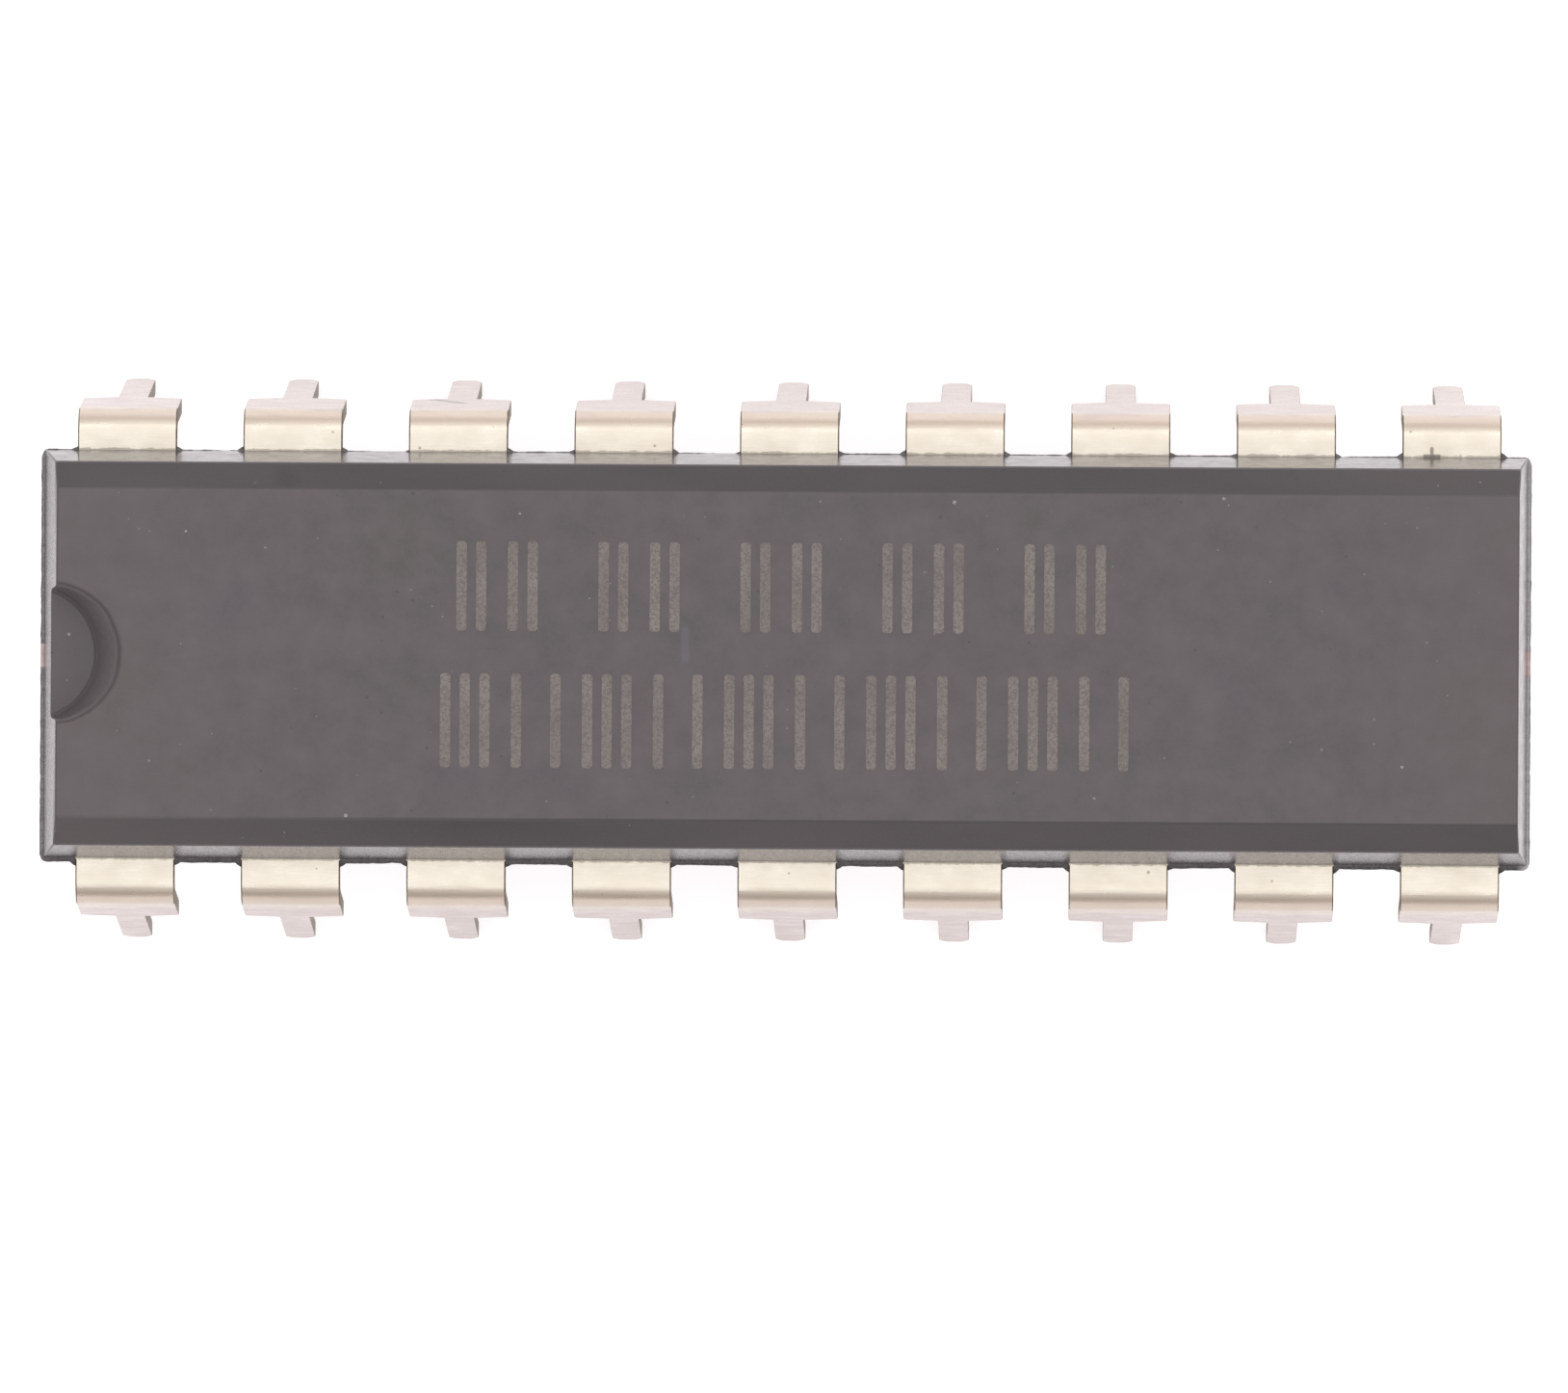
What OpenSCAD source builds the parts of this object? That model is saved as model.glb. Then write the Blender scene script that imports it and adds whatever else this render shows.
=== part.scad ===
// Integrated circuit in an 18-lead dual in-line plastic package, with the lead frame,
// chip and bond wires that are moulded into it.
//
// X runs along the package from its notched end (-X) to its plain end, Y across it, Z up.
// The origin is under the middle of the package, on the surface that the lead tips stand on.
// Lead 1 is at the notched end of the -Y row. The numbers run along that row and back
// along the +Y row, so the highest number is opposite lead 1.

/* [Moulded body] */
// Length of the top face past the centre of the last lead, at each end
end_margin = 1.015; // [0.95:0.005:1.4]
// Body width at the foot of the side walls
body_width = 6.26; // [6.15:0.01:6.45]
// Sidestep of the moulding from the middle of the lead frame, towards the +Y row
mould_offset = 0.03; // [0:0.005:0.04]
// Body height from underside to top face
body_height = 3.3; // [3.1:0.05:3.9]
// Lean of the long side walls, in degrees from upright
side_draft = 8.6; // [4:0.1:12]
// Lean of the end wall that has the notch
notch_end_draft = 9.2; // [3:0.1:10]
// Lean of the plain end wall
plain_end_draft = 6; // [3:0.1:10]
// Width of the bevel along each long top edge, seen from above
bevel_width = 0.43; // [0.2:0.01:0.6]
// Drop of that bevel below the top face
bevel_drop = 0.24; // [0.1:0.02:0.4]
// Reach of the thin flash of resin around the parting line
flash_reach = 0.05; // [0.02:0.01:0.08]
// Corner radius of the flash, seen from above
flash_corner = 0.12; // [0.1:0.01:0.16]
// Width of the web of resin left beside each lead, where the dam bar was cut away
web_width = 0.07; // [0.03:0.01:0.1]
// Reach of those webs past the flash
web_reach = 0.11; // [0.05:0.01:0.13]

/* [Notch and ejector marks] */
// Radius of the half-round notch, at the top face and at its floor alike
notch_radius = 1.09; // [0.8:0.01:1.4]
// Depth of the notch below the top face
notch_depth = 0.65; // [0.3:0.05:0.9]
// Lean of the notch's wall, in degrees from upright, which sets its floor back towards the end
notch_lean = 29; // [0:1:35]
// Distance of the notch's centre past the end of the top face
notch_outset = 0.08; // [0:0.01:0.2]
// Diameter of the ejector pin marks in the underside
ejector_diameter = 1.8; // [1.2:0.1:2.2]
// Depth of the ejector pin marks
ejector_depth = 0.05; // [0.02:0.01:0.1]
// Distance of each ejector pin mark from the middle of the package
ejector_offset = 6.6; // [3:0.1:7.6]

/* [Leads] */
// Leads in each of the two rows
leads_per_side = 9; // [7:1:10]
// Distance between neighbouring leads
lead_pitch = 2.54; // [2.45:0.01:2.65]
// Thickness of the lead frame's sheet
sheet = 0.25; // [0.2:0.01:0.3]
// Width of a lead from the body down to its seating step
shoulder_width = 1.52; // [1.3:0.02:1.64]
// Width of a lead's narrow tip
tip_width = 0.46; // [0.38:0.02:0.56]
// Height of a lead's narrow tip, from its end up to the seating step
tip_height = 3.25; // [2.8:0.05:3.6]
// Height of the sloping part that joins tip and shoulder
step_slope = 0.16; // [0.05:0.01:0.3]
// Height of the tapered point at the tip's end
point_height = 0.22; // [0.1:0.02:0.4]
// Width of the tapered point at its very end
point_width = 0.26; // [0.16:0.02:0.34]
// Gap between the seating steps and the body's underside
standoff = 0.5; // [0.3:0.05:0.8]
// Reach of the leads past the foot of the side walls, to the outer face of the legs' tops
lead_reach = 0.68; // [0.66:0.005:0.9]
// Outward lean of the legs, in degrees from upright
splay = 6; // [0:0.5:12]
// Inner radius of the bend from the body into the leg
bend_radius = 0.2; // [0.12:0.01:0.24]

/* [Lead frame inside the body] */
// Depth to which a lead keeps its full width inside the body
root_depth = 0.65; // [0.55:0.01:0.75]
// Diameter of the hole that locks each lead in the resin
lock_hole = 0.36; // [0.2:0.02:0.4]
// Width of the fingers and tie bars that reach into the body
finger_width = 0.36; // [0.3:0.01:0.4]
// Gap between neighbouring parts of the lead frame
frame_gap = 0.2; // [0.15:0.01:0.24]
// Distance between the finger tips along the chip's long side
finger_pitch = 1.3; // [1.1:0.02:1.36]
// Straight end of the fingers along the chip's long side
finger_end = 0.35; // [0.25:0.01:0.45]
// Length of the paddle that carries the chip
paddle_length = 6.0; // [5.8:0.05:6.4]
// Width of the paddle
paddle_width = 2.4; // [2.3:0.02:2.5]
// Drop of the paddle below the leads
downset = 0.3; // [0.2:0.01:0.4]
// Distance from the paddle's end to the jog in the tie bar
jog_offset = 0.25; // [0.1:0.05:0.6]

/* [Chip and wires] */
// Length of the silicon chip
chip_length = 2.9; // [2.6:0.05:3.4]
// Width of the chip
chip_width = 1.9; // [1.7:0.05:2.1]
// Thickness of the chip
chip_height = 0.36; // [0.3:0.01:0.45]
// Thickness of the adhesive under the chip
adhesive = 0.03; // [0.02:0.005:0.05]
// Reach of the adhesive past the chip's edge
adhesive_reach = 0.06; // [0.02:0.01:0.1]
// Distance of the bond pads' centres from the chip's edge
pad_inset = 0.12; // [0.08:0.01:0.2]
// Distance between bond pads
pad_pitch = 0.5; // [0.3:0.02:0.54]
// Diameter of the bond wires
wire_diameter = 0.034; // [0.025:0.001:0.05]
// Diameter of the ball at a wire's first end
ball_diameter = 0.085; // [0.06:0.005:0.12]
// Height of that ball
ball_height = 0.025; // [0.015:0.005:0.04]
// Height of a wire's loop above the chip
loop_height = 0.24; // [0.15:0.01:0.35]
// Distance from the finger's tip to the wire's second bond
stitch_inset = 0.16; // [0.12:0.01:0.22]

/* [Hidden] */
$fn = 48;
lead_count = 2 * leads_per_side;
// Leads this many pitches or less from the middle end at the paddle's long side
long_side_reach = 2.5;
function two_digits(k) = str(k < 10 ? "0" : "", k);
LEAD_NODES = [for (k = [1 : lead_count]) str("lead_", two_digits(k))];
WIRE_NODES = [for (k = [1 : lead_count]) str("bond_wire_", two_digits(k))];

// Heights, from the tips of the leads upwards
underside_z = tip_height + standoff;
top_z = underside_z + body_height;
frame_z = (underside_z + top_z - sheet) / 2;
frame_top_z = frame_z + sheet;
paddle_top_z = frame_top_z - downset;
chip_z = paddle_top_z + adhesive;
chip_top_z = chip_z + chip_height;

// Places along the package: the end of the top face, and the feet of the two end walls
outer_lead = (leads_per_side - 1) / 2;
top_end_x = outer_lead * lead_pitch + end_margin;
notch_end_x = top_end_x + (top_z - frame_top_z) * tan(notch_end_draft);
plain_end_x = top_end_x + (top_z - frame_top_z) * tan(plain_end_draft);
body_length = notch_end_x + plain_end_x;

// Places across the package
wall_y = body_width / 2;
// Half the 7.62 mm spacing of the two rows
leg_y = wall_y + lead_reach;
flash_y = wall_y + flash_reach;
root_y = wall_y - root_depth;
finger_tip_y = paddle_width / 2 + frame_gap;
finger_tip_x = paddle_length / 2 + frame_gap;
bend_outer_radius = bend_radius + sheet;
bend_y = leg_y - bend_outer_radius * cos(splay);
bend_z = frame_z - bend_radius;
// Leg lengths along the leg's own inner face
leg_length = (bend_z + bend_radius * sin(splay)) / cos(splay);
tip_length = tip_height / cos(splay);

// Run of a cut past the face that it goes through, of a finger into its lead's root, and of
// the bend into the flat part and into the leg
through = 0.5;
finger_overlap = 0.1;
bend_overlap = 0.05;
// Share of a ball's height over which it keeps its full diameter
ball_waist = 0.7;
// Flat sides around the notch's pin and around a bond wire, and steps in a wire's rise and fall
notch_sides = 72;
wire_sides = 8;
rise_steps = 4;
fall_steps = 5;

// Lead k's row, -1 or 1, and its place in the row counted in pitches from the middle
function row_of(k) = k <= leads_per_side ? -1 : 1;
function place_of(k) = (k <= leads_per_side ? k - 1 : lead_count - k) - outer_lead;
function lead_x(k) = place_of(k) * lead_pitch;

function ends_at_long_side(place) = abs(place) <= long_side_reach;
// Lanes run beside the tie bar to the paddle's short side; the outermost lead has the inner one
function lane_y(place) =
    (finger_width + frame_gap) * (1 + outer_lead - abs(place));

// The middle line of a finger in the +Y row, from inside the lead's wide root to its tip
function finger_path(place) =
    let (x = place * lead_pitch, root = [[x, root_y + finger_overlap], [x, root_y]])
    ends_at_long_side(place)
        ? let (tip_x = place * finger_pitch)
          concat(root, [[tip_x, finger_tip_y + finger_end], [tip_x, finger_tip_y]])
        : let (y = lane_y(place), inward = -sign(place))
          concat(root, [[x + inward * (root_y - y), y], [-inward * finger_tip_x, y]]);

function unit(v) = v / norm(v);
// Step to the left edge of a ribbon at point i of its path, mitred at the corners
function ribbon_step(path, i, half_width) =
    let (last = len(path) - 1,
         arriving = unit(path[max(i, 1)] - path[max(i, 1) - 1]),
         leaving = unit(path[min(i, last - 1) + 1] - path[min(i, last - 1)]),
         along = unit(arriving + leaving))
    half_width / (along * arriving) * [-along[1], along[0]];
function ribbon(path, width) = concat(
    [for (i = [0 : len(path) - 1]) path[i] + ribbon_step(path, i, width / 2)],
    [for (i = [len(path) - 1 : -1 : 0]) path[i] - ribbon_step(path, i, width / 2)]);

// Where lead k's bond wire starts on the chip and ends on the finger
function pad_point(k) =
    let (place = place_of(k))
    ends_at_long_side(place)
        ? [place * pad_pitch, row_of(k) * (chip_width / 2 - pad_inset)]
        : [sign(place) * (chip_length / 2 - pad_inset),
           row_of(k) * pad_pitch * (0.5 + outer_lead - abs(place))];
function stitch_point(k) =
    let (place = place_of(k))
    ends_at_long_side(place)
        ? [place * finger_pitch, row_of(k) * (finger_tip_y + stitch_inset)]
        : [sign(place) * (finger_tip_x + stitch_inset), row_of(k) * lane_y(place)];

// The wire's line, as distance from the pad and height: straight up out of the ball,
// over the top of the loop, and down to the finger
function wire_profile(span) =
    let (foot_z = chip_top_z + ball_height,
         peak_z = chip_top_z + loop_height,
         peak = (peak_z - foot_z) / 2)
    concat(
        [for (i = [0 : rise_steps]) let (a = 90 * i / rise_steps)
            [peak * (1 - cos(a)), foot_z + (peak_z - foot_z) * sin(a)]],
        [for (i = [1 : fall_steps]) let (a = 90 * i / fall_steps)
            [peak + (span - peak) * i / fall_steps,
             frame_top_z + (peak_z - frame_top_z) * cos(a)]]);

// One ring of points around a wire: across is level, rising is the ring's other axis
function ring(centre, radius, across, rising) =
    [for (j = [0 : wire_sides - 1]) let (a = 360 * j / wire_sides)
        centre + radius * (cos(a) * across + sin(a) * rising)];

module rounded_rectangle(length, width, radius) {
    square([length, width - 2 * radius], center = true);
    square([length - 2 * radius, width], center = true);
    for (x = [-1, 1], y = [-1, 1])
        translate([x * (length / 2 - radius), y * (width / 2 - radius)]) circle(radius);
}

// Cross-section of the body: side walls that lean in above and below the parting line,
// and the bevel along each long top edge
module body_section() {
    bevel_z = top_z - bevel_drop;
    underside_y = wall_y - (frame_z - underside_z) * tan(side_draft);
    bevel_y = wall_y - (bevel_z - frame_top_z) * tan(side_draft);
    right = [[underside_y, underside_z], [wall_y, frame_z], [wall_y, frame_top_z],
             [bevel_y, bevel_z], [bevel_y - bevel_width, top_z]];
    left = [for (i = [len(right) - 1 : -1 : 0]) [-right[i][0], right[i][1]]];
    polygon(concat(right, left));
}

// Side outline of the body, with its leaning end walls
module body_side() {
    drop = frame_z - underside_z;
    polygon([[plain_end_x - drop * tan(plain_end_draft), underside_z],
             [plain_end_x, frame_z], [plain_end_x, frame_top_z], [top_end_x, top_z],
             [-top_end_x, top_z], [-notch_end_x, frame_top_z], [-notch_end_x, frame_z],
             [drop * tan(notch_end_draft) - notch_end_x, underside_z]]);
}

// The two mould halves' cavity: the cross-section and the side outline, each run through
// the other
module moulding() {
    translate([0, mould_offset, 0]) intersection() {
        rotate([90, 0, 90])
            linear_extrude(2 * body_length, center = true) body_section();
        rotate([90, 0, 0])
            linear_extrude(body_width + 2 * through, center = true) body_side();
    }
}

// The thin fin of resin where the mould halves met, as thick as the lead frame, with a web
// on each side of every lead
module flash() {
    web_span = shoulder_width + 2 * web_width;
    translate([0, 0, frame_z]) linear_extrude(sheet) {
        translate([(plain_end_x - notch_end_x) / 2, 0])
            rounded_rectangle(body_length + 2 * flash_reach, 2 * flash_y, flash_corner);
        for (k = [1 : leads_per_side])
            translate([lead_x(k) - web_span / 2, -flash_y - web_reach])
                square([web_span, 2 * (flash_y + web_reach)]);
    }
}

// The half-round recess at the end where lead 1 is. A round pin that leans along the package
// forms it, so level cuts through it are circles, and its floor is flat.
module notch() {
    reach = notch_depth + through;
    translate([-top_end_x - notch_outset, mould_offset, top_z]) intersection() {
        rotate([0, notch_lean, 0])
            linear_extrude(2 * (reach + notch_radius) / cos(notch_lean), center = true)
                polygon([for (i = [0 : notch_sides - 1]) let (a = 360 * i / notch_sides)
                    notch_radius * [cos(notch_lean) * cos(a), sin(a)]]);
        translate([-2 * notch_radius, -2 * notch_radius, -notch_depth])
            cube([4 * notch_radius, 4 * notch_radius, reach]);
    }
}

module ejector_marks() {
    for (x = [-ejector_offset, ejector_offset])
        translate([x, mould_offset, underside_z - through])
            cylinder(h = through + ejector_depth, d = ejector_diameter);
}

// The flat part of a lead, from the bend to the finger's tip, for the +Y row
module lead_flat(place) {
    x = place * lead_pitch;
    translate([0, 0, frame_z]) linear_extrude(sheet) difference() {
        union() {
            translate([x - shoulder_width / 2, root_y]) square([shoulder_width, bend_y - root_y]);
            polygon(ribbon(finger_path(place), finger_width));
        }
        translate([x, (root_y + wall_y) / 2]) circle(d = lock_hole);
    }
}

// Side outline of the turn from the flat part into the leg, drawn round the bend's centre, with
// the first of the flat part and of the leg, so that the three are one piece
module bend_side() {
    far = 2 * bend_outer_radius;
    intersection() {
        difference() {
            circle(bend_outer_radius);
            circle(bend_radius);
        }
        polygon([[0, 0], [far * cos(splay), far * sin(splay)], [far, far], [0, far]]);
    }
    translate([-bend_overlap, bend_radius]) square([bend_overlap, sheet]);
    rotate(splay) translate([bend_radius, -bend_overlap]) square([sheet, bend_overlap]);
}

module lead_bend() {
    translate([0, bend_y, bend_z]) rotate([90, 0, 90])
        linear_extrude(shoulder_width, center = true) bend_side();
}

// The leg's outline in its own plane: wide shoulder, seating step, narrow tip and point.
// Y counts down the leg from the bend.
module leg_outline() {
    step = leg_length - tip_length;
    right = [[shoulder_width / 2, 0], [shoulder_width / 2, step - step_slope],
             [tip_width / 2, step], [tip_width / 2, leg_length - point_height],
             [point_width / 2, leg_length]];
    left = [for (i = [len(right) - 1 : -1 : 0]) [-right[i][0], right[i][1]]];
    polygon(concat(right, left));
}

module lead_leg() {
    translate([0, bend_y, bend_z]) rotate([splay - 90, 0, 0])
        translate([0, 0, bend_radius]) linear_extrude(sheet) leg_outline();
}

// Turns what is drawn for the +Y row to lead k's own row
module in_row_of(k) {
    if (row_of(k) > 0) children();
    else mirror([0, 1, 0]) children();
}

module lead(k) {
    color([0.86, 0.84, 0.78]) in_row_of(k) {
        lead_flat(place_of(k));
        translate([lead_x(k), 0, 0]) {
            lead_bend();
            lead_leg();
        }
    }
}

// Side outline of the paddle with its two tie bars, which climb to the level of the leads
// and end flush with the flash
module paddle_side(half_length, flash_x) {
    jog_x = half_length + jog_offset;
    polygon([[0, paddle_top_z - sheet], [jog_x, paddle_top_z - sheet],
             [jog_x + downset, frame_z], [flash_x, frame_z],
             [flash_x, frame_top_z], [jog_x + downset, frame_top_z],
             [jog_x, paddle_top_z], [0, paddle_top_z]]);
}

module die_paddle() {
    half_length = paddle_length / 2;
    color([0.80, 0.55, 0.38]) {
        translate([-half_length, -paddle_width / 2, paddle_top_z - sheet])
            cube([paddle_length, paddle_width, sheet]);
        for (end = [0, 1]) mirror([end, 0, 0])
            rotate([90, 0, 0]) linear_extrude(finger_width, center = true)
                paddle_side(half_length, flash_reach + (end == 0 ? plain_end_x : notch_end_x));
    }
}

module die_attach() {
    length = chip_length + 2 * adhesive_reach;
    width = chip_width + 2 * adhesive_reach;
    color([0.72, 0.72, 0.74])
        translate([-length / 2, -width / 2, paddle_top_z]) cube([length, width, adhesive]);
}

module silicon_die() {
    color([0.25, 0.27, 0.33])
        translate([-chip_length / 2, -chip_width / 2, chip_z])
            cube([chip_length, chip_width, chip_height]);
}

// A gold wire with its ball on the chip and its stitch on the finger, as one closed skin.
// Its last ring lies flat on the finger.
module bond_wire(k) {
    start = pad_point(k);
    span = norm(stitch_point(k) - start);
    heading = unit(stitch_point(k) - start);
    forward = [heading[0], heading[1], 0];
    across = [-heading[1], heading[0], 0];
    up = [0, 0, 1];
    line = [for (p = wire_profile(span)) [start[0], start[1], p[1]] + p[0] * forward];
    last = len(line) - 1;
    wire_radius = wire_diameter / 2;
    ball_foot = [start[0], start[1], chip_top_z];
    fall = unit(line[last] - line[last - 1]);
    rings = concat(
        [ring(ball_foot, ball_diameter / 2, across, -forward),
         ring(ball_foot + ball_waist * ball_height * up, ball_diameter / 2, across, -forward)],
        [for (i = [0 : last - 1])
            let (along = i == 0 ? up : unit(line[i + 1] - line[i - 1]))
            ring(line[i], wire_radius, across, cross(along, across))],
        [ring(line[last], wire_radius, across, forward / abs(fall * up))]);
    points = [for (r = rings) each r];
    color([0.93, 0.76, 0.36]) polyhedron(points, concat(
        [[for (j = [0 : wire_sides - 1]) j]],
        [for (i = [0 : len(rings) - 2], j = [0 : wire_sides - 1])
            let (a = i * wire_sides + j, b = i * wire_sides + (j + 1) % wire_sides)
            each [[a, a + wire_sides, b + wire_sides], [a, b + wire_sides, b]]],
        [[for (j = [wire_sides - 1 : -1 : 0]) (len(rings) - 1) * wire_sides + j]]));
}

// The moulded resin, which closes round everything inside it
module body() {
    color([0.27, 0.26, 0.27]) difference() {
        union() {
            moulding();
            flash();
        }
        notch();
        ejector_marks();
        for (k = [1 : lead_count]) {
            in_row_of(k) lead_flat(place_of(k));
            bond_wire(k);
        }
        die_paddle();
        die_attach();
        silicon_die();
    }
}

body();
die_paddle();
die_attach();
silicon_die();
for (k = [1 : lead_count]) {
    lead(k);
    bond_wire(k);
}
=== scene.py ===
from math import radians, sin, cos, sqrt, tan

import bmesh
import bpy
from mathutils import Matrix, Vector, noise


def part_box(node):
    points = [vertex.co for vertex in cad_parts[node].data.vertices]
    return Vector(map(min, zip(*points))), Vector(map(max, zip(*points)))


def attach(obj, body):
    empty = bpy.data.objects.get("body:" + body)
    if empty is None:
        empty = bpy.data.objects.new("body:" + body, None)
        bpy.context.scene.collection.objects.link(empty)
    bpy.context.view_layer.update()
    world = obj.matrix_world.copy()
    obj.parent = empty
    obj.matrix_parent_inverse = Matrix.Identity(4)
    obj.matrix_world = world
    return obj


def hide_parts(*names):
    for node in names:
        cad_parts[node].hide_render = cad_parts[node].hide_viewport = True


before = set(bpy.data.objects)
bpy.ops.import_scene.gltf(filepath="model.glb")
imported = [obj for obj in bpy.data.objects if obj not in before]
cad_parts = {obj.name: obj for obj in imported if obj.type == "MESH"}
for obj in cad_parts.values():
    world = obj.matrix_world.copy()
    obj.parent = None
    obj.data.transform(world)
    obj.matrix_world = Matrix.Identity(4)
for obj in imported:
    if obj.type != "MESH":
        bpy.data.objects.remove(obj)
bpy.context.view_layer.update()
MM = 0.001

# The camera stands well back and almost straight above the chip, as the photograph's did. The
# photograph has 67.7 pixels to the millimetre at the height where the leads leave the body, and
# shows the chip turned a little clockwise and a little above the middle of the picture.
photo_width = 1628
pixels_per_mm = 67.7
camera_height = 385 * MM
camera_beside_chip = Vector((4.6 * MM, -2.0 * MM, 0))
picture_middle = Vector((-0.062 * MM, -0.566 * MM, 0))
chip_turn = radians(0.34)
film_width = 36
nearest_seen = 10 * MM

frame_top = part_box("lead_05")[1].z
camera_data = bpy.data.cameras.new("camera")
camera_data.sensor_width = film_width
camera_data.lens = film_width * camera_height * pixels_per_mm / (photo_width * MM)
camera_data.clip_start = nearest_seen
camera = bpy.data.objects.new("camera", camera_data)
bpy.context.scene.collection.objects.link(camera)
bpy.context.scene.camera = camera
aim = picture_middle + Vector((0, 0, frame_top))
camera.location = camera_beside_chip + Vector((0, 0, frame_top + camera_height))
backward = (camera.location - aim).normalized()
rightward = Vector((-sin(chip_turn), cos(chip_turn), 0)).cross(backward).normalized()
turned = Matrix((rightward, backward.cross(rightward), backward)).transposed()
camera.rotation_euler = turned.to_euler()

# The package is one transfer moulding of dark, mineral-filled epoxy. The two halves of the mould
# lean in from the parting line, each long top edge is bevelled, a half-round notch marks the end
# where lead 1 is, and two ejector pins have left round marks in the underside.
sheet = 0.25 * MM
flash_reach = 0.05 * MM
web_reach = 0.11 * MM
mould_offset = 0.03 * MM
side_draft = tan(radians(8.6))
notch_end_draft = tan(radians(9.2))
plain_end_draft = tan(radians(6))
bevel_width = 0.43 * MM
bevel_drop = 0.24 * MM
moulded_edge = 0.035 * MM
notch_radius = 1.03 * MM
notch_depth = 0.65 * MM
notch_lean = tan(radians(29))
notch_outset = 0.08 * MM
notch_rim = 0.11 * MM
notch_fillet = 0.07 * MM
notch_rounding_steps = 6
notch_sides = 96
notch_unevenness = 0.02
notch_waves = 4
notch_seed = 3
ejector_radius = 0.9 * MM
ejector_depth = 0.05 * MM
ejector_offset = 6.6 * MM
ejector_sides = 64
body_crease = radians(50)
past_face = 0.3 * MM
weld = 0.0002 * MM

body_low, body_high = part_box("body")
underside, top = body_low.z, body_high.z
frame_foot = frame_top - sheet
notch_end_x = body_low.x + flash_reach
plain_end_x = body_high.x - flash_reach
foot_y = body_high.y - flash_reach - web_reach
notch_middle = Vector(
    (notch_end_x + (top - frame_top) * notch_end_draft - notch_outset, mould_offset))
notch_floor = top - notch_depth
notch_floor_middle = notch_middle - Vector((notch_depth * notch_lean, 0))
wall_top_y = foot_y - (top - bevel_drop - frame_top) * side_draft
# Where the -Y bevel meets the top face. A dark line of painted shade runs along it.
edge_shade_y = mould_offset - wall_top_y + bevel_width


def set_level(corners, level, rise, half_width):
    """Puts four corners at a level that is that far from the parting line, with its width."""
    for corner in corners:
        at_plain_end = corner.co.x > 0
        corner.co.x = plain_end_x - rise * plain_end_draft if at_plain_end else (
            notch_end_x + rise * notch_end_draft)
        corner.co.y = mould_offset + (half_width if corner.co.y > 0 else -half_width)
        corner.co.z = level


def next_level(shell, side, level, half_width):
    """Draws the shell's upper (side 1) or lower (side -1) face out to a new level and width."""
    end_face = max(shell.faces, key=lambda face: side * face.calc_center_median().z)
    drawn = bmesh.ops.extrude_face_region(shell, geom=[end_face])["geom"]
    bmesh.ops.delete(shell, geom=[end_face], context="FACES_ONLY")
    corners = [part for part in drawn if isinstance(part, bmesh.types.BMVert)]
    set_level(corners, level, level - frame_top if side > 0 else frame_foot - level, half_width)


def moulded_shell():
    """The moulding before its notch: parting band, upper half with its bevels, lower half."""
    shell = bmesh.new()
    bmesh.ops.create_cube(shell, size=1)
    by_height = sorted(shell.verts, key=lambda corner: corner.co.z)
    set_level(by_height[:4], frame_foot, 0, foot_y)
    set_level(by_height[4:], frame_top, 0, foot_y)
    next_level(shell, 1, top - bevel_drop, wall_top_y)
    next_level(shell, 1, top, wall_top_y - bevel_width)
    next_level(shell, -1, underside, foot_y - (frame_foot - underside) * side_draft)
    in_band = [frame_foot - moulded_edge, frame_top + moulded_edge]
    rounded = [
        edge for edge in shell.edges
        if any(not in_band[0] < corner.co.z < in_band[1] for corner in edge.verts)
    ]
    bmesh.ops.bevel(
        shell, geom=rounded, offset=moulded_edge, segments=3, profile=0.5, affect="EDGES",
        material=-1, clamp_overlap=True,
    )
    bmesh.ops.recalc_face_normals(shell, faces=shell.faces)
    return shell


def wander(x, y, z):
    """A smooth, uneven number between -1 and 1 for that place, the same on every run."""
    return noise.noise(Vector((x, y, z)))


def mould_pins():
    """What the mould held where the body is hollow: the notch's leaning pin and ejector pins."""
    pins = bmesh.new()
    outline = [(0, notch_floor)]
    turns = [radians(90) * step / notch_rounding_steps for step in range(notch_rounding_steps + 1)]
    for turn in turns:
        outline.append((
            notch_radius - notch_fillet * (1 - sin(turn)),
            notch_floor + notch_fillet * (1 - cos(turn))))
    for turn in turns:
        outline.append((
            notch_radius + notch_rim * (1 - cos(turn)),
            top - notch_rim * (1 - sin(turn))))
    outline += [(notch_radius + notch_rim, top + past_face), (0, top + past_face)]
    points = [pins.verts.new((reach, 0, level)) for reach, level in outline]
    edges = [pins.edges.new(pair) for pair in zip(points, points[1:])]
    bmesh.ops.spin(
        pins, geom=points + edges, axis=(0, 0, 1), cent=(0, 0, 0), angle=radians(360),
        steps=notch_sides, use_merge=True, use_duplicate=False)
    bmesh.ops.remove_doubles(pins, verts=pins.verts, dist=weld)
    for corner in pins.verts:
        if corner.co.z > top - notch_rim:
            uneven = wander(*corner.co.xy.normalized() * notch_waves, notch_seed)
            corner.co.xy *= 1 + notch_unevenness * uneven
        corner.co.xy += notch_middle
        corner.co.x += (corner.co.z - top) * notch_lean
    bmesh.ops.recalc_face_normals(pins, faces=pins.faces)
    for end in (-1, 1):
        bmesh.ops.create_cone(
            pins, cap_ends=True, segments=ejector_sides,
            radius1=ejector_radius, radius2=ejector_radius, depth=ejector_depth + past_face,
            matrix=Matrix.Translation(
                (end * ejector_offset, mould_offset, underside + (ejector_depth - past_face) / 2)),
        )
    return pins


def new_piece(name, shape):
    """A mesh object at the origin, made from a bmesh, which is freed."""
    mesh = bpy.data.meshes.new(name)
    shape.to_mesh(mesh)
    shape.free()
    piece = bpy.data.objects.new(name, mesh)
    bpy.context.scene.collection.objects.link(piece)
    return piece


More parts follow.
